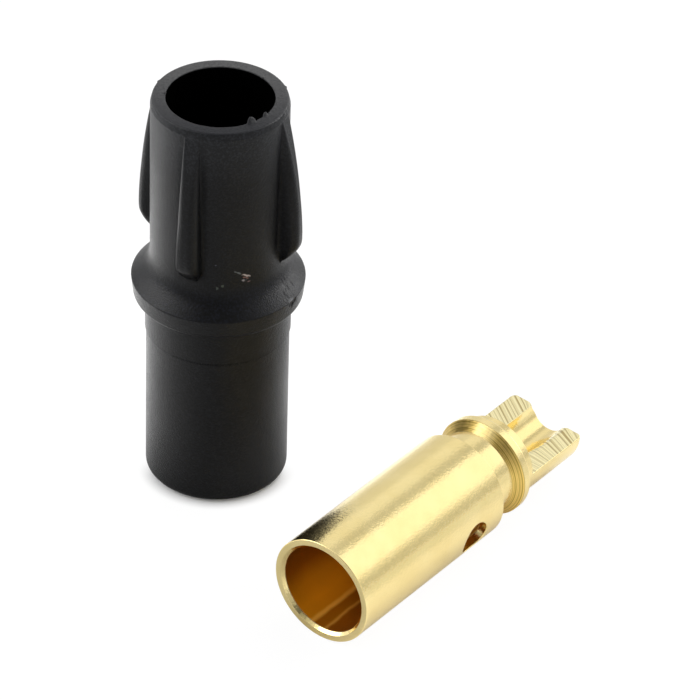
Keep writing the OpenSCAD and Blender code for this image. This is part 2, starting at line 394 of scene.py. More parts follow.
def ridgeDepth(s, x, along):
    # 0 on the crests to 1 in the grooves of the milling marks: parallel slanted ones on the far
    # flat (x > 0), and on the near one spokes that meet at one point beside the tail; uneven
    # pitch from two sines, coarse and fine grooves from squared cosines
    across = -x
    fan = np.arctan2(along - s.nearFan[1], s.nearFan[0] - across)
    phase = np.where(x > 0, along - s.farSlant * across, fan * s.fanReach) / s.pitch
    phase = phase + 0.16 * np.sin(phase * 1.9 + 0.6) + 0.1 * np.sin(phase * 4.3 + 2.0)
    coarse = (0.5 + 0.5 * np.cos(2 * math.pi * phase)) ** 2
    fine = (0.5 + 0.5 * np.cos(2 * math.pi * 2.37 * phase + 1.1)) ** 2
    strength = 0.45 + 0.55 * np.sin(phase * 0.83 + 0.4) ** 2
    strength = strength * (0.55 + 0.45 * smoothStep(*s.ridgeGrowth, along))
    return np.clip(strength * coarse + 0.3 * fine - 0.12, 0, 1)


def wornTail(s, x, y, along):
    # the near leg is worn: its inner edge falls off towards the channel and its end is short
    height = y - s.flat
    fromEdge = np.clip((-x - s.channel) / s.edgeWidth, 0, 1)
    drop = s.edgeDrop * smoothStep(*s.edgeGrowth, along) * (1 - fromEdge) ** s.edgePower
    drop = drop * smoothStep(-s.edgeDepth, 0.0, height) * (x < 0)
    short = s.legShort * smoothStep(*s.legAcross, -x) * smoothStep(s.legFrom, s.tailEnd, along)
    # the far leg's inner corner is rounded off at the end
    toChannel = 1 - np.clip((x - s.channel) / s.cornerWidth, 0, 1)
    corner = s.cornerOff * toChannel ** 2 * smoothStep(-s.cornerDepth, 0.0, height) * (x > 0)
    short = short + corner * smoothStep(s.cornerFrom, s.tailEnd, along)
    return y - drop, along - short


def tailRows(s):
    # sections of the tail: lower arc, flats with ridges, half-round channel; the arc's radius
    # follows the end's rounding, R = shank - edge * (1 - cos a)
    half = s.columns // 2
    n = s.flatColumns
    plain = np.arange(s.tailStart + s.tailStep, s.tailEnd - s.tailEdge, s.tailStep)
    a = np.linspace(0, math.pi / 2, s.endRows)
    along = np.concatenate([plain, s.tailEnd - s.tailEdge * (1 - np.sin(a))])[:, None]
    endR = s.shank - s.tailEdge * (1 - np.cos(a))
    arcR = np.concatenate([np.full(len(plain), s.shank), endR])[:, None]
    # flats: from the outer edge to the channel, with a narrow chamfer at either side
    outerX = np.sqrt(arcR ** 2 - s.flat ** 2)
    share = np.concatenate(([0.0], np.linspace(*s.flatShares, n - 1), [1.0]))[None, :]
    flatX = outerX + (s.channel - outerX) * share
    flatY = s.flat - s.outerChamfer * (share == 0) - s.innerChamfer * (share == 1)
    ridged = band(share, *s.ridgeShares)
    nearGroove = ridged * ridgeDepth(s, -flatX, along)
    farGroove = ridged * ridgeDepth(s, flatX, along)
    nearY = flatY - s.ridge * nearGroove
    farY = flatY - s.ridge * farGroove
    # the half-round channel, and the lower arc from the far flat round to the near one
    swing = np.radians(np.linspace(180, 360, half - 2 * n + 1))[1:-1] + 0 * along
    channelX = s.channel * np.cos(swing)
    channelY = s.flat + s.channel * np.sin(swing)
    flatAngle = math.asin(s.flat / s.shank)
    lower = np.linspace(0, 1, half + 1)[1:-1] * (np.pi + 2 * flatAngle) + np.pi - flatAngle + 0 * along
    x = np.concatenate([-flatX, channelX, flatX[:, ::-1], -arcR * np.cos(lower)], 1)
    y = np.concatenate([nearY, channelY, farY[:, ::-1], arcR * np.sin(lower)], 1)
    # the end's rim: the whole upper line eases down over its last hundredths
    into = np.clip(along - s.tailEnd + s.endEase, 0, 1) / s.endEase
    y[:, :half + 1] -= s.endEase * (1 - np.sqrt(np.clip(1 - into ** 2, 0, 1)))
    groove = 0 * x
    groove[:, :n + 1] = nearGroove
    groove[:, half - n:half + 1] = farGroove[:, ::-1]
    milled = 0 * x
    milled[:, 1:n] = 1
    milled[:, half - n + 1:half] = 1
    y, along = wornTail(s, x, y, along + 0 * x)
    return np.stack([x, y, along], -1), groove, milled


def contactPlace(s, points):
    # local (across, up, along) to the row's frame: the axis lies level, turned about the vertical
    swap = Matrix(((0, 0, 1), (1, 0, 0), (0, 1, 0)))
    turn = Matrix.Rotation(math.radians(s.turn), 3, "Z")
    roll = Matrix.Rotation(math.radians(s.roll), 3, "X")
    return points @ np.array(turn @ roll @ swap).T + np.array(s.mouth)


def drainPatch(s, innerEdge, outerEdge):
    # rings round the drain hole at hole angle b: place = (pos + d cos b, angle + asin(d sin b / r));
    # they start at the outer block's border, round the hole's edge, go through the wall and end at
    # the inner block's border
    turn = math.radians(s.drainAngle)

    def spread(edge):
        return np.stack([edge[:, 1] - s.drainPos, edge[:, 2] * np.sin(edge[:, 0] - turn)])

    border = spread(outerEdge)
    hole = np.arctan2(border[1], border[0])
    circle = np.stack([np.cos(hole), np.sin(hole)])
    rim = s.drain + s.drainEdge
    foot = s.drain + s.drainGap
    rings = [(border * (1 - k) + rim * circle * k, s.tube) for k in np.linspace(0, 1, 9)[:-1] ** 0.8]
    rings += [((rim - s.drainEdge * math.sin(t)) * circle, s.tube - s.drainEdge * (1 - math.cos(t)))
              for t in np.radians(np.linspace(0, 90, 7))]
    wallTop = s.tube - s.drainEdge - s.drainGap
    rings += [(s.drain * circle, r) for r in np.linspace(wallTop, s.socket + s.drainFoot, 6)]
    border = spread(innerEdge)
    rings += [(foot * circle * (1 - k) + border * k, s.socket) for k in np.linspace(0, 1, 9) ** 1.2]
    places = np.stack([place for place, _ in rings])
    r = np.array([radius for _, radius in rings])[:, None]
    angle = turn + np.arcsin(places[:, 1] / r)
    return np.stack([-r * np.cos(angle), r * np.sin(angle), s.drainPos + places[:, 0]], -1)


def borderLine(s, phi, rows, block):
    # angle, place along the axis and radius of the points once round a block of the grid
    r = np.arange(block[0], block[1] + 1)
    c = np.arange(s.drainColumns[0], s.drainColumns[1] + 1)
    across = len(c) - 1
    down = len(r) - 1
    row = rows[np.concatenate([np.full(across, r[0]), r[:-1], np.full(across, r[-1]), r[:0:-1]])]
    column = np.concatenate([c[:-1], np.full(down, c[-1]), c[:0:-1], np.full(down, c[0])])
    angle = phi[column % s.columns] + 2 * np.pi * (column // s.columns - 1)
    return np.stack([angle, row[:, 1], row[:, 0]], 1)


def buildContact(s):
    rows, innerBlock, outerBlock = contactProfile(s)
    count = s.columns
    half = count // 2
    phi = np.arange(count) * 2 * np.pi / count
    flatAngle = math.asin(s.flat / s.shank)
    # columns drift a little towards the flats' edges as the tail comes near
    onTail = np.where(phi <= np.pi, flatAngle + phi * (1 - 2 * flatAngle / np.pi),
                      np.pi - flatAngle + (phi - np.pi) * (1 + 2 * flatAngle / np.pi))
    outside = np.arange(len(rows)) > outerBlock[1]
    drift = outside * smoothStep(s.collarEnd, s.tailStart - s.driftGap, rows[:, 1])
    angle = phi + drift[:, None] * (onTail - phi)
    turned = np.stack([-rows[:, :1] * np.cos(angle), rows[:, :1] * np.sin(angle),
                       rows[:, 1:] + 0 * angle], -1)
    # the wall at the tail's root: the round section morphs into the tail's section
    tail, tailGroove, tailMilled = tailRows(s)
    rootShare = np.array(s.rootShares)[:, None, None]
    circle = np.stack([-s.shank * np.cos(onTail), s.shank * np.sin(onTail), 0 * onTail], -1)[None]
    section = tail[:1] * np.array([1, 1, 0])
    root = circle + (section - circle) * rootShare
    root[..., 2] = s.tailStart + s.rootStep * (rootShare[..., 0] - 1)
    root[0, :, 2] -= s.rootStep
    grid = np.concatenate([turned, root, tail])
    points = grid.reshape(-1, 3)
    faces = gridFaces(len(grid), count, False, True)
    # take out the drain hole's blocks and put the ring patch in
    columnsOut = np.arange(*s.drainColumns) % count
    keep = np.ones(faces.shape[:2], bool)
    for low, high in (innerBlock, outerBlock):
        keep[low:high, columnsOut] = False
    faces = faces[keep]
    outerEdge = borderLine(s, phi, rows, outerBlock)
    innerEdge = borderLine(s, phi, rows, innerBlock)
    # each outer border point goes with the inner one at the same place along the axis and angle
    match = np.abs(innerEdge[None, :, :2] - outerEdge[:, None, :2]).sum(-1).argmin(1)
    patch = drainPatch(s, innerEdge[match], outerEdge)
    patchFaces = gridFaces(patch.shape[0], patch.shape[1], False, True, len(points)).reshape(-1, 4)
    # the end face, ruled from the upper line to the lower arc
    upper = grid[-1, :half + 1]
    lower = np.concatenate([grid[-1, :1], grid[-1, :half - 1:-1]])
    share = np.linspace(0, 1, s.capRows)[:, None, None]
    cap = upper[None] * (1 - share) + lower[None] * share
    capStart = len(points) + patch.size // 3
    capFaces = gridFaces(s.capRows, half + 1, False, False, capStart).reshape(-1, 4)
    points = np.concatenate([points, patch.reshape(-1, 3), cap.reshape(-1, 3)])
    faces = np.concatenate([faces, patchFaces, capFaces])
    marks = {}
    tailFirst = (len(turned) + len(root)) * count
    for mark, values in (("groove", tailGroove), ("milled", tailMilled)):
        marks[mark] = np.zeros(len(points))
        marks[mark][tailFirst:tailFirst + values.size] = values.ravel()
    return makePiece("contactBody", contactPlace(s, points), faces, marks)


contact = SimpleNamespace(**contactSettings)
shroudBody = buildShroud(SimpleNamespace(**shroudSettings))
contactBody = buildContact(contact)


# Materials.

def setInputs(tree, node, inputs):
    # an input is a value or another node's output
    for key, value in inputs.items():
        if isinstance(value, bpy.types.NodeSocket):
            tree.links.new(value, node.inputs[key])
        else:
            node.inputs[key].default_value = value


def put(tree, kind, settings=None, inputs=None):
    # one node with its settings and inputs
    node = tree.nodes.new(kind)
    for key, value in (settings or {}).items():
        setattr(node, key, value)
    setInputs(tree, node, inputs or {})
    return node


def maths(tree, operation, a, b):
    return put(tree, "ShaderNodeMath", {"operation": operation}, {0: a, 1: b}).outputs[0]


def times(tree, first, *others):
    # product of values and node outputs
    for other in others:
        first = maths(tree, "MULTIPLY", first, other)
    return first


def addShare(tree, base, mask, amount):
    # base + mask * amount
    return maths(tree, "ADD", base, times(tree, mask, amount))


def vectorMaths(tree, operation, a, b=(0, 0, 0)):
    node = put(tree, "ShaderNodeVectorMath", {"operation": operation}, {0: a, 1: b})
    return node.outputs["Value" if operation in ("LENGTH", "DOT_PRODUCT") else "Vector"]


def splitAxes(tree, vector):
    return tuple(put(tree, "ShaderNodeSeparateXYZ", None, {0: vector}).outputs)


def joinAxes(tree, x, y=0.0, z=0.0):
    return put(tree, "ShaderNodeCombineXYZ", None, {0: x, 1: y, 2: z}).outputs[0]


def ramp(tree, value, low, high, toLow=0.0, toHigh=1.0, kind="SMOOTHSTEP"):
    # map from low..high to toLow..toHigh, smooth unless another kind is asked for
    node = put(tree, "ShaderNodeMapRange", {"interpolation_type": kind},
               {0: value, 1: low, 2: high, 3: toLow, 4: toHigh})
    return node.outputs[0]


def zone(tree, value, low, lowFull, highFull, high):
    # the same as band, in nodes
    return times(tree, ramp(tree, value, low, lowFull), ramp(tree, value, high, highFull))


def noise(tree, vector, scale, detail=2.0, roughness=0.5):
    node = put(tree, "ShaderNodeTexNoise", None,
               {"Vector": vector, "Scale": scale, "Detail": detail, "Roughness": roughness})
    return node.outputs[0]


def mixColour(tree, share, a, b, blend="MIX"):
    node = put(tree, "ShaderNodeMix", {"data_type": "RGBA", "blend_type": blend}, {0: share, 6: a, 7: b})
    return node.outputs[2]


def pointMark(tree, name):
    # a value that was stored at the mesh's points
    return put(tree, "ShaderNodeAttribute", {"attribute_name": name}).outputs["Fac"]


def grainNormal(s, tree, height):
    bump = put(tree, "ShaderNodeBump", None,
               {"Strength": s.grainBump, "Distance": s.grainDepth, "Height": height})
    return bump.outputs[0]


def newGroup(name, vectors, values, outputs):
    # a shared effect, with the names of its vector inputs, plain inputs and outputs
    group = bpy.data.node_groups.new(name, "ShaderNodeTree")
    sockets = [(v, "INPUT", "NodeSocketVector") for v in vectors]
    sockets += [(v, "INPUT", "NodeSocketFloat") for v in values]
    sockets += [(v, "OUTPUT", "NodeSocketFloat") for v in outputs]
    for socket, side, kind in sockets:
        group.interface.new_socket(socket, in_out=side, socket_type=kind)
    return group, put(group, "NodeGroupInput").outputs, put(group, "NodeGroupOutput")


def useGroup(tree, group, inputs):
    return put(tree, "ShaderNodeGroup", {"node_tree": group}, inputs).outputs


def fineGrainGroup():
    # moulded or matte-plated grain: a fine noise, and flecks where a second noise peaks
    group, given, out = newGroup("fineGrain", ["Vector"], ["Scale"], ["Height", "Fleck"])
    fine = noise(group, given["Vector"], given["Scale"], 3.0, 0.6)
    peaks = noise(group, given["Vector"], times(group, given["Scale"], 0.71), 2.0, 0.55)
    setInputs(group, out, {"Height": fine, "Fleck": ramp(group, peaks, 0.42, 0.68)})
    return group


def softToneGroup():
    # slow changes of tone from handling: two soft noises of different size, mixed
    group, given, out = newGroup("softTone", ["Vector"], ["Scale"], ["Tone"])
    big = noise(group, given["Vector"], given["Scale"], 1.0)
    small = noise(group, given["Vector"], times(group, given["Scale"], 3.7))
    both = addShare(group, times(group, big, 0.65), small, 0.35)
    setInputs(group, out, {"Tone": ramp(group, both, 0.3, 0.7)})
    return group


def wearPatchGroup():
    # a ragged patch: 1 inside an ellipsoid round a centre, with a noisy border
    group, given, out = newGroup(
        "wearPatch", ["Vector", "Centre", "Size"], ["Ragged", "Grit", "Angle"], ["Mask"])
    turned = put(group, "ShaderNodeVectorRotate", {"rotation_type": "Y_AXIS"},
                 {"Vector": given["Vector"], "Center": given["Centre"], "Angle": given["Angle"]}).outputs[0]
    away = vectorMaths(group, "SUBTRACT", turned, given["Centre"])
    reach = vectorMaths(group, "LENGTH", vectorMaths(group, "DIVIDE", away, given["Size"]))
    shake = maths(group, "SUBTRACT", noise(group, given["Vector"], given["Grit"]), 0.5)
    reach = addShare(group, reach, times(group, shake, given["Ragged"]), 4.0)
    setInputs(group, out, {"Mask": ramp(group, reach, 1.1, 0.7)})
    return group


fineGrain = fineGrainGroup()
softTone = softToneGroup()
wearPatch = wearPatchGroup()


def newMaterial(name):
    material = bpy.data.materials.new(name)
    material.use_nodes = True
    tree = material.node_tree
    tree.nodes.clear()
    shader = put(tree, "ShaderNodeBsdfPrincipled")
    put(tree, "ShaderNodeOutputMaterial", None, {"Surface": shader.outputs[0]})
    coords = put(tree, "ShaderNodeTexCoord")
    inMm = put(tree, "ShaderNodeVectorMath", {"operation": "SCALE"},
               {0: coords.outputs["Object"], "Scale": 1 / mm})
    return material, tree, shader, inMm.outputs[0]


# Lengths in these settings are millimetres in the frame; a pair is where an effect starts and is
# full, and four places are start, full, full, end.

plasticSettings = dict(
    body=(0.0022, 0.0022, 0.0024, 1), fleck=(0.0062, 0.0066, 0.0078, 1), toneScale=0.35,
    grainScale=15.0, grainBump=0.4, grainDepth=6e-5, roughness=(0.29, 0.35), specular=0.155,
    # paler, bluish grain on the sloped flange and towards the wire opening
    coneFleck=(0.0066, 0.0073, 0.0118, 1), coneZ=(9.85, 9.95, 10.5, 11.1), coneShare=0.75,
    upper=(0.0075, 0.008, 0.009, 1), upperFleck=(0.017, 0.018, 0.021, 1), upperZ=(15.6, 18.4),
    # the end face at the wire opening is paler, most at the back, and rougher than the moulded skin
    rimFront=(0.0105, 0.011, 0.0135, 1), rimBack=(0.057, 0.057, 0.058, 1), rimY=(-2.8, 1.5),
    rimZ=(18.70, 18.74), rimFleck=0.35, rimRough=0.25,
    # painted shade: within the wire opening the skin is painted near black, with little gloss
    inside=(0.0003, 0.0003, 0.0003, 1), insideR=(2.34, 2.29), insideZ=(18.72, 18.66),
    insideGloss=0.1,
    # painted shade: less gloss along the flange's lower edge and the band's step, under which shade falls:
    # heights, share
    dull=[((9.0, 9.03, 9.13, 9.24), 0.62), ((7.24, 7.27, 7.33, 7.37), 0.75)],
    # marks of use: angle (degrees), distance from the axis, height, half sizes, turn, raggedness, colour
    marks=[(-29.31, 3.268, 10.2, (0.4, 0.45, 0.35), 0, 0.8, (0.018, 0.018, 0.019, 1)),
              (-31.5, 3.636, 9.93, (0.16, 0.16, 0.07), 0, 0.5, (0.07, 0.07, 0.073, 1)),
              (-71.69, 2.9, 11.848, (0.17, 0.4, 0.04), -31, 0.6, (0.085, 0.09, 0.088, 1)),
              (-64.93, 2.9, 11.529, (0.13, 0.4, 0.05), -20, 0.7, (0.14, 0.075, 0.06, 1)),
              (-64.93, 2.9, 11.645, (0.17, 0.4, 0.055), -28, 0.7, (0.36, 0.3, 0.27, 1)),
              (-66.66, 2.9, 11.41, (0.1, 0.4, 0.055), -10, 0.8, (0.2, 0.18, 0.18, 1)),
              (-62.17, 2.9, 11.318, (0.06, 0.3, 0.03), 0, 0.6, (0.12, 0.08, 0.08, 1)),
              (-90.4, 2.9, 12.29, (0.035, 0.3, 0.035), 0, 0.2, (0.06, 0.06, 0.075, 1)),
              (-89.22, 2.93, 11.134, (0.06, 0.3, 0.07), 0, 0.5, (0.05, 0.058, 0.05, 1)),
              (-84.33, 2.934, 11.255, (0.065, 0.3, 0.07), 0, 0.5, (0.055, 0.064, 0.05, 1))],
    markGrit=12.0, markRough=0.1,
)


def plasticMaterial(s):
    material, tree, shader, place = newMaterial("blackPlastic")
    x, y, z = splitAxes(tree, place)
    grain = useGroup(tree, fineGrain, {"Vector": place, "Scale": s.grainScale})
    tone = useGroup(tree, softTone, {"Vector": place, "Scale": s.toneScale})
    # flecked skin
    cone = times(tree, zone(tree, z, *s.coneZ), s.coneShare)
    upper = ramp(tree, z, *s.upperZ)
    fleck = mixColour(tree, cone, s.fleck, s.coneFleck)
    fleck = mixColour(tree, upper, fleck, s.upperFleck)
    colour = mixColour(tree, grain["Fleck"], mixColour(tree, upper, s.body, s.upper), fleck)
    # marks of use
    worn = 0.0
    for turn, reach, height, size, angle, ragged, tint in s.marks:
        turn = math.radians(turn)
        mark = useGroup(tree, wearPatch, {
            "Vector": place, "Centre": (reach * math.cos(turn), reach * math.sin(turn), height),
            "Size": size, "Ragged": ragged, "Grit": s.markGrit, "Angle": math.radians(angle)})["Mask"]
        colour = mixColour(tree, mark, colour, tint)
        worn = maths(tree, "MAXIMUM", mark, worn)
    # end face of the wire opening, and painted shade down within it
    rim = ramp(tree, z, *s.rimZ)
    rimColour = mixColour(tree, ramp(tree, y, *s.rimY, kind="LINEAR"), s.rimFront, s.rimBack)
    rimColour = mixColour(tree, times(tree, grain["Fleck"], s.rimFleck), rimColour, s.body)
    colour = mixColour(tree, rim, colour, rimColour)
    radius = vectorMaths(tree, "LENGTH", joinAxes(tree, x, y))
    inside = times(tree, ramp(tree, radius, *s.insideR), ramp(tree, z, *s.insideZ))
    colour = mixColour(tree, inside, colour, s.inside)
    rough = ramp(tree, tone["Tone"], 0.0, 1.0, *s.roughness)
    rough = addShare(tree, rough, worn, s.markRough)
    rough = addShare(tree, rough, rim, s.rimRough)
    normal = grainNormal(s, tree, grain["Height"])
    # painted shade as less gloss: within the wire opening, at the fins' roots and the front fin's left
    # edge, and along the flange's lower edge and the band's step
    gloss = times(tree, ramp(tree, inside, 0.0, 1.0, 1.0, s.insideGloss), s.specular)
    gloss = times(tree, gloss, ramp(tree, pointMark(tree, "glossShade"), 0.0, 2.0, 1.0, 0.0, kind="LINEAR"))
    for heights, share in s.dull:
        dull = zone(tree, z, *heights)
        gloss = times(tree, gloss, ramp(tree, dull, 0.0, 1.0, 1.0, 1.0 - share, kind="LINEAR"))
    setInputs(tree, shader, {"Base Color": colour, "Roughness": rough, "Normal": normal,
                             "IOR": 1.5, "Specular IOR Level": gloss})
    return material


goldSettings = dict(
    pale=(0.97, 0.80, 0.385, 1), deep=(0.92, 0.74, 0.33, 1), toneScale=0.5, specular=0.15,
    grainScale=8.0, grainRange=(0.3, 0.7), roughness=(0.1, 0.19),
    # bump: strength, depth (m), shares of the grain and of the rings left by turning, their pitch
    grainBump=0.42, grainDepth=4.5e-5, grainShare=0.5, turnedShare=0.15, turnedPitch=0.09,
    turnedFade=0.02,
    # painted sheen: paler, whiter milled flats for their bright reflection; painted shade in their grooves,
    # and its share
    milled=(1.0, 0.9, 0.52, 1), groove=(0.36, 0.245, 0.065, 1), grooveShare=0.95,
    # the collar's front was left as turned: colours and pitch of its rings, whose dark tone is partly
    # painted reflection, added roughness
    leadDark=(0.48, 0.33, 0.07, 1), leadPale=(0.88, 0.64, 0.2, 1), leadPitch=0.04,
    leadRange=(0.38, 0.62), leadRough=0.22, leadStart=(-0.03, 0.03), leadEnd=(-0.01, 0.05),
    # painted highlight on its top and painted shade on its far side: across the axis and up from it
    topY=(-0.9, -0.4, 0.1, 0.5), topZ=(0.0, 0.5), topShare=0.6,
    leadDull=(0.2, 0.15, 0.04, 1), dullY=(0.6, 1.1), dullShare=0.22,
    # painted reflections and shade round the bore, drawn out along it as streaks: place across and colour;
    # the direction across
    bore=[(-2.0, (0.16, 0.04, 0.002)), (-1.3, (0.3, 0.08, 0.002)), (-0.6, (0.62, 0.21, 0.004)),
             (0.2, (0.8, 0.28, 0.006)), (0.7, (0.75, 0.26, 0.006)), (0.8, (0.95, 0.44, 0.05)),
             (0.87, (0.95, 0.43, 0.05)), (0.98, (0.4, 0.12, 0.003)), (1.29, (0.4, 0.13, 0.003)),
             (1.38, (0.68, 0.3, 0.04)), (1.48, (0.28, 0.08, 0.002)), (2.0, (0.17, 0.045, 0.002))],
    boreAcross=(0.0, -0.7694, -0.6388), wander=0.16, wanderScale=0.9,
    # painted shade just behind the mouth; far in, where the drain hole opens, one plain orange of painted
    # inner reflection in place of the streaks
    mouthShade=0.3, mouthFade=(1.6, 0.1), boreDeep=(0.9, 0.56, 0.12, 1), deepFrom=(4.6, 6.0),
    boreRough=0.25, boreMetal=0.28, boreSkin=(0.06, 0.01), boreStart=(-0.02, 0.06),
    boreFade=0.2,
)


def ringNoise(tree, along, pitch, detail):
    # a noise that changes along the axis only
    return noise(tree, joinAxes(tree, maths(tree, "DIVIDE", along, pitch)), 1.0, detail)


def leadColour(s, tree, x, y, z):
    # turning rings, partly painted reflection; a painted highlight on the top and painted shade on the far
    # side
    rings = ringNoise(tree, x, s.leadPitch, 1.0)
    colour = mixColour(tree, ramp(tree, rings, *s.leadRange), s.leadDark, s.leadPale)
    top = times(tree, zone(tree, y, *s.topY), ramp(tree, z, *s.topZ), s.topShare)
    colour = mixColour(tree, top, colour, s.pale)
    return mixColour(tree, ramp(tree, y, *s.dullY, 0.0, s.dullShare), colour, s.leadDull)


def borePaintedReflections(s, tree, lay, x):
    # painted reflections and shade in the bore's colour: streaks across it, darker behind the mouth, plain
    # orange far in
    wander = maths(tree, "SUBTRACT", noise(tree, lay, s.wanderScale), 0.5)
    across = addShare(tree, vectorMaths(tree, "DOT_PRODUCT", lay, s.boreAcross), wander, s.wander)
    first, firstTint = s.bore[0]
    last, lastTint = s.bore[-1]
    tones = put(tree, "ShaderNodeValToRGB", None, {0: ramp(tree, across, first, last, kind="LINEAR")})
    stops = tones.color_ramp.elements
    for place, tint in s.bore[1:-1]:
        stops.new((place - first) / (last - first)).color = tint + (1,)
    stops[0].color = firstTint + (1,)
    stops[len(stops) - 1].color = lastTint + (1,)
    shade = ramp(tree, x, *s.mouthFade, 0.0, s.mouthShade)
    colour = mixColour(tree, shade, tones.outputs[0], (0, 0, 0, 1))
    return mixColour(tree, ramp(tree, x, *s.deepFrom), colour, s.boreDeep)


def goldMaterial(s, c):
    material, tree, shader, place = newMaterial("goldPlate")
    # turned frame: x runs along the contact's axis from the mouth
    lay = put(tree, "ShaderNodeMapping", {"vector_type": "TEXTURE"}, {
        "Vector": place, "Location": c.mouth, "Rotation": (0, 0, math.radians(c.turn))}).outputs[0]
    x, y, z = splitAxes(tree, lay)
    grain = useGroup(tree, fineGrain, {"Vector": place, "Scale": s.grainScale})
    tone = useGroup(tree, softTone, {"Vector": lay, "Scale": s.toneScale})
    colour = mixColour(tree, tone["Tone"], s.pale, s.deep)
    rough = ramp(tree, grain["Height"], *s.grainRange, *s.roughness)
    # grain all over, and turning rings up to the milled tail
    rings = times(tree, ringNoise(tree, x, s.turnedPitch, 2.0),
                  ramp(tree, x, c.tailStart, c.tailStart - s.turnedFade))
    height = addShare(tree, times(tree, grain["Height"], s.grainShare), rings, s.turnedShare)
    normal = grainNormal(s, tree, height)
    # the collar's front: turning rings, partly painted reflection, with a painted highlight and painted
    # shade
    leadEnd = c.collarStart + c.collarLead
    lead = zone(tree, x, *[c.collarStart + step for step in s.leadStart],
                *[leadEnd + step for step in s.leadEnd])
    colour = mixColour(tree, lead, colour, leadColour(s, tree, x, y, z))
    rough = addShare(tree, rough, lead, s.leadRough)
    # painted sheen: the milled flats are painted paler; painted shade: their grooves are painted darker
    colour = mixColour(tree, pointMark(tree, "milled"), colour, s.milled)
    groove = times(tree, pointMark(tree, "groove"), s.grooveShare)
    colour = mixColour(tree, groove, colour, s.groove)
    # in the bore the plating is rougher and less metallic, and painted with the orange of its inner
    # reflections and with painted shade
    radius = vectorMaths(tree, "LENGTH", joinAxes(tree, 0.0, y, z))
    inBore = times(tree, ramp(tree, radius, *[c.socket + step for step in s.boreSkin]),
                   zone(tree, x, *[c.bevel + step for step in s.boreStart],
                        c.tubeEnd - s.boreFade, c.tubeEnd))
    colour = mixColour(tree, inBore, colour, borePaintedReflections(s, tree, lay, x))
    rough = addShare(tree, rough, inBore, s.boreRough)
    metal = ramp(tree, inBore, 0.0, 1.0, 1.0, s.boreMetal)
    setInputs(tree, shader, {"Base Color": colour, "Roughness": rough, "Normal": normal,
                             "Metallic": metal, "Specular IOR Level": s.specular})
    return material


shroudBody.data.materials.append(plasticMaterial(SimpleNamespace(**plasticSettings)))
contactBody.data.materials.append(goldMaterial(SimpleNamespace(**goldSettings), contact))
print("materials made:", [m.name for m in bpy.data.materials])

pieces = ((shroudBody, "shroud", "black_plastic"), (contactBody, "socket_contact", "gold_plate"))
for piece, node, slotName in pieces:
    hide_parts(node)
    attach(piece, "root")


# Floor, light and camera.

floorSettings = dict(
    # half side (m), and the paper's colour near by and further to the right
    half=0.6, near=(0.92, 0.92, 0.92, 1), far=(0.70, 0.70, 0.70, 1), fadeX=(14.0, 28.0),
    # painted shade on the paper: before the contact, round the left of the shroud's base and at the back
    frontShade=0.6, frontY=(-3.5, -9.0), frontX=(8.0, 3.0),
    baseShade=0.75, baseReach=(6.5, 3.5), baseX=(2.0, -1.0),
    backShade=0.78, backY=(14.0, 22.0),
    # paper that gives light: left of the shroud, more to the back; behind the contact; beside it,
    # measured across its axis towards the viewer
    leftGlow=1.0, leftX=(-1.5, -7.0), leftY=(22.0, 12.0), leftGrowth=(-5.0, 4.0, 0.35, 1.05),
    rightGlow=0.25, rightX=(2.5, 4.5, 9.0, 12.0), rightY=(-1.5, 1.0, 9.0, 13.0),
    nearGlow=0.07, nearSide=(0.7965, -0.6046, 0.0), nearReach=(11.5, 13.0, 15.5, 18.0),
    # white seen by the lens: strength, share on the open floor and in the fringe at the shroud's foot
    white=1.05, openShare=0.9, fringeShare=0.1, fringeReach=(3.65, 2.9), fringeY=(0.3, -1.8),
)


def paperColour(s, tree, x, y, apart):
    front = times(tree, ramp(tree, y, *s.frontY), ramp(tree, x, *s.frontX))
    byBase = times(tree, ramp(tree, apart, *s.baseReach), ramp(tree, x, *s.baseX))
    shade = times(tree, ramp(tree, front, 0.0, 1.0, 1.0, s.frontShade, kind="LINEAR"),
                  ramp(tree, byBase, 0.0, 1.0, 1.0, s.baseShade),
                  ramp(tree, y, *s.backY, 1.0, s.backShade))
    paper = mixColour(tree, ramp(tree, x, *s.fadeX), s.near, s.far)
    return mixColour(tree, 1.0, paper, joinAxes(tree, shade, shade, shade), "MULTIPLY")


def paperGlow(s, tree, x, y, place):
    left = times(tree, ramp(tree, x, *s.leftX), ramp(tree, y, *s.leftY), ramp(tree, y, *s.leftGrowth))
    right = times(tree, zone(tree, x, *s.rightX), zone(tree, y, *s.rightY))
    near = zone(tree, vectorMaths(tree, "DOT_PRODUCT", place, s.nearSide), *s.nearReach)
    glow = addShare(tree, times(tree, left, s.leftGlow), right, s.rightGlow)
    glow = addShare(tree, glow, near, s.nearGlow)
    return joinAxes(tree, glow, glow, glow)


def buildFloor(s):
    # a flat sheet z = 0 on a 2 by 2 grid of points
    half = s.half
    mesh = bpy.data.meshes.new("studioFloor")
    corners = [(-half, -half, 0), (half, -half, 0), (half, half, 0), (-half, half, 0)]
    mesh.from_pydata(corners, [], [(0, 1, 2, 3)])
    floor = bpy.data.objects.new("studioFloor", mesh)
    scene.collection.objects.link(floor)
    material, tree, shader, place = newMaterial("palePaper")
    x, y, _ = splitAxes(tree, place)
    apart = vectorMaths(tree, "LENGTH", place)
    setInputs(tree, shader, {
        "Base Color": paperColour(s, tree, x, y, apart), "Roughness": 1.0, "Specular IOR Level": 0.0,
        "Emission Color": paperGlow(s, tree, x, y, place), "Emission Strength": 1.0})
    # to the lens the paper is close to white, as an overexposed backdrop is
    white = put(tree, "ShaderNodeEmission", None, {"Strength": s.white})
    fringe = times(tree, ramp(tree, apart, *s.fringeReach, kind="LINEAR"), ramp(tree, y, *s.fringeY))
    share = times(tree, put(tree, "ShaderNodeLightPath").outputs["Is Camera Ray"],
                  ramp(tree, fringe, 0.0, 1.0, s.openShare, s.fringeShare))
    blend = put(tree, "ShaderNodeMixShader", None, {0: share, 1: shader.outputs[0], 2: white.outputs[0]})
    setInputs(tree, tree.nodes["Material Output"], {"Surface": blend.outputs[0]})
    mesh.materials.append(material)


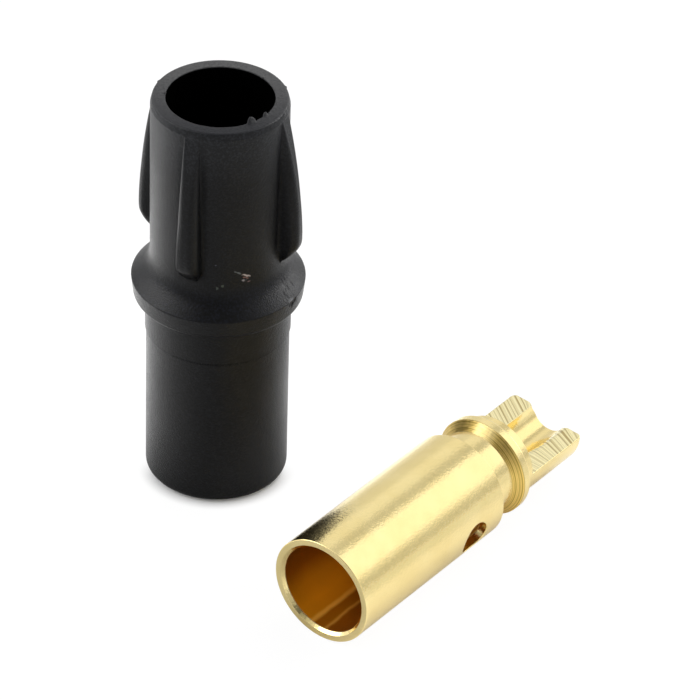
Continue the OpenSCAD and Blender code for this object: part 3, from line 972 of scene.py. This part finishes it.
lightSettings = dict(
    # lamps: place, size (m), power
    keyLamp=((0.09, 0.3, 0.51), 0.4, 1.0),
    # two lamps for the shroud alone, which bring out both sides of its flange
    sideLamps=[((0.17, 0.076, 0.088), 0.14, 0.33), ((-0.18, 0.02, 0.115), 0.12, 0.16)],
    # one lamp for the contact alone, which shines into its bore
    boreLamp=((-0.02, -0.264, 0.162), 0.14, 0.32),
    # the tent's brightness, and soft areas of it: direction, full within, gone beyond (degrees), brightness
    tent=0.9,
    lobes=[((-0.1, 0.98, 0.1), 4, 34, 0.78), ((0.72, 0.25, 0.64), 18, 26, 1.28),
              ((0.74, 0.64, 0.18), 8, 18, 2.6), ((-0.84, 0.1, 0.53), 14, 30, 4.4),
              ((0.989, 0.058, 0.129), 3, 10, 0.6), ((0.3, 0.58, 0.757), 3, 12, 0.62),
              ((0.0, 0.809, 0.588), 4, 11, 0.94),
              ((-0.3, -0.95, 0.05), 30, 62, 0.5), ((-0.9, -0.4, 0.1), 15, 30, 0.4),
              ((0.03, -0.6, 0.8), 17, 29, 0.1), ((-0.12, -0.82, 0.56), 7, 14, 0.1)],
)


def buildTent(s):
    # world brightness by direction: each lobe mixes its own brightness in by the angle to its middle
    world = bpy.data.worlds.new("softTent")
    scene.world = world
    world.use_nodes = True
    tree = world.node_tree
    tree.nodes.clear()
    direction = put(tree, "ShaderNodeTexCoord").outputs["Generated"]
    value = s.tent
    for middle, inner, outer, brightness in s.lobes:
        unit = tuple(np.array(middle) / np.linalg.norm(middle))
        cosine = vectorMaths(tree, "DOT_PRODUCT", direction, unit)
        share = ramp(tree, cosine, math.cos(math.radians(outer)), math.cos(math.radians(inner)))
        mixed = put(tree, "ShaderNodeMix", {"data_type": "FLOAT"}, {0: share, 2: value, 3: brightness})
        value = mixed.outputs[0]
    background = put(tree, "ShaderNodeBackground", None, {"Color": (1, 1, 1, 1), "Strength": value})
    put(tree, "ShaderNodeOutputWorld", None, {"Surface": background.outputs[0]})


def softbox(name, place, size, power):
    # a square lamp that faces the objects
    light = bpy.data.lights.new(name, "AREA")
    light.size = size
    light.energy = power
    lamp = bpy.data.objects.new(name, light)
    aim = Vector(place).to_track_quat("Z", "Y")
    lamp.matrix_world = Matrix.Translation(place) @ aim.to_matrix().to_4x4()
    scene.collection.objects.link(lamp)
    return lamp


def lightOnly(lamp, piece):
    # the lamp lights this piece and no other
    lit = bpy.data.collections.new(lamp.name + "Lit")
    lit.objects.link(piece)
    lamp.light_linking.receiver_collection = lit


def buildLamps(s):
    key = softbox("topSoftbox", *s.keyLamp)
    key.visible_glossy = False
    for place, size, power in s.sideLamps:
        lightOnly(softbox("sideSoftbox", place, size, power), shroudBody)
    bore = softbox("boreSoftbox", *s.boreLamp)
    lightOnly(bore, contactBody)
    bore.visible_glossy = False
    bore.visible_camera = False


cameraSettings = dict(
    # place (mm), look down and roll (degrees), focal length and frame side (pixels)
    eye=(5.6477, -172.3983, 131.3194), elevation=35.997, roll=1.7787,
    focal=5000.0, frame=700.0, sensor=36.0, clipStart=0.001,
)


def buildCamera(s):
    data = bpy.data.cameras.new("photoCamera")
    data.sensor_width = s.sensor
    data.lens = s.focal / s.frame * s.sensor
    data.clip_start = s.clipStart
    camera = bpy.data.objects.new("photoCamera", data)
    place = Matrix.Translation([v * mm for v in s.eye])
    tilt = Matrix.Rotation(math.radians(90 - s.elevation), 4, "X")
    roll = Matrix.Rotation(math.radians(s.roll), 4, "Z")
    camera.matrix_world = place @ tilt @ roll
    scene.collection.objects.link(camera)
    scene.camera = camera


light = SimpleNamespace(**lightSettings)
buildFloor(SimpleNamespace(**floorSettings))
buildTent(light)
buildLamps(light)
buildCamera(SimpleNamespace(**cameraSettings))
scene.view_settings.view_transform = "Standard"
print("stage made")
